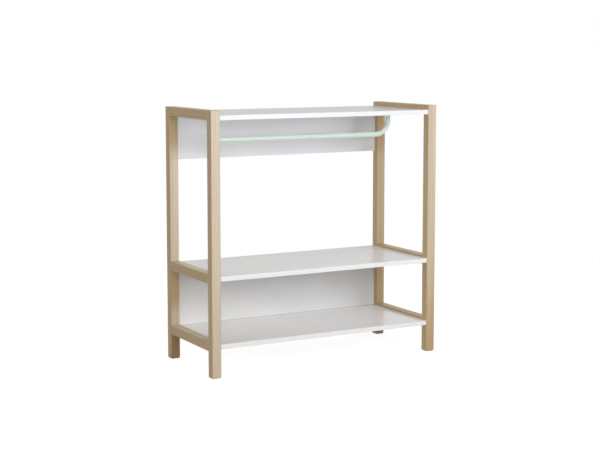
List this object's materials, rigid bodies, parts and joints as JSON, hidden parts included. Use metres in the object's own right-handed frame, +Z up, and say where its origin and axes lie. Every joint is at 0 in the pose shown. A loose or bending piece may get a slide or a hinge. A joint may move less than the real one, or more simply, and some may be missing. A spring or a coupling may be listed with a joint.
{
  "type": "changing table",
  "caption": "Open changing table: two pale wooden ladder frames carry three white boards, two white back panels and a mint-green hanging bar under the top.",
  "frame": {"origin": "middle of the footprint, on the floor under the foot glides", "axes": "+Z up, -Y towards the open front, +X to the right as seen from the front"},
  "size_m": [0.98, 0.41, 0.985],
  "materials": {
    "oak": "pale oak, clear matt lacquer, fine straight grain",
    "dowel_wood": "raw beech",
    "white_board": "white melamine-faced particle board, satin",
    "white_edging": "white plastic edge strip, satin",
    "mint_paint": "mint-green powder coat, satin",
    "zinc": "die-cast zinc, dull",
    "steel": "zinc-plated steel",
    "glide_plastic": "hard plastic, matt"
  },
  "bodies": {
    "root": {"left_front_post": "oak", "left_back_post": "oak", "right_front_post": "oak", "right_back_post": "oak", "left_top_rail": "oak", "left_middle_rail": "oak", "left_bottom_rail": "oak", "right_top_rail": "oak", "right_middle_rail": "oak", "right_bottom_rail": "oak", "left_frame_dowels": "dowel_wood", "right_frame_dowels": "dowel_wood", "top_shelf": "white_board", "middle_shelf": "white_board", "bottom_shelf": "white_board", "top_shelf_edging": "white_edging", "middle_shelf_edging": "white_edging", "bottom_shelf_edging": "white_edging", "top_shelf_dowels": "dowel_wood", "middle_shelf_dowels": "dowel_wood", "bottom_shelf_dowels": "dowel_wood", "top_shelf_cams": "zinc", "middle_shelf_cams": "zinc", "bottom_shelf_cams": "zinc", "top_shelf_bolts": "steel", "middle_shelf_bolts": "steel", "bottom_shelf_bolts": "steel", "upper_back_panel": "white_board", "lower_back_panel": "white_board", "upper_panel_edging": "white_edging", "upper_panel_dowels": "dowel_wood", "lower_panel_dowels": "dowel_wood", "upper_panel_cams": "zinc", "lower_panel_cams": "zinc", "upper_panel_bolts": "steel", "lower_panel_bolts": "steel", "hanging_bar": "mint_paint", "left_bar_flange": "mint_paint", "right_bar_flange": "mint_paint", "bar_screws": "steel", "left_front_glide": "glide_plastic", "left_back_glide": "glide_plastic", "right_front_glide": "glide_plastic", "right_back_glide": "glide_plastic", "glide_nails": "steel"}
  },
  "joints": []
}
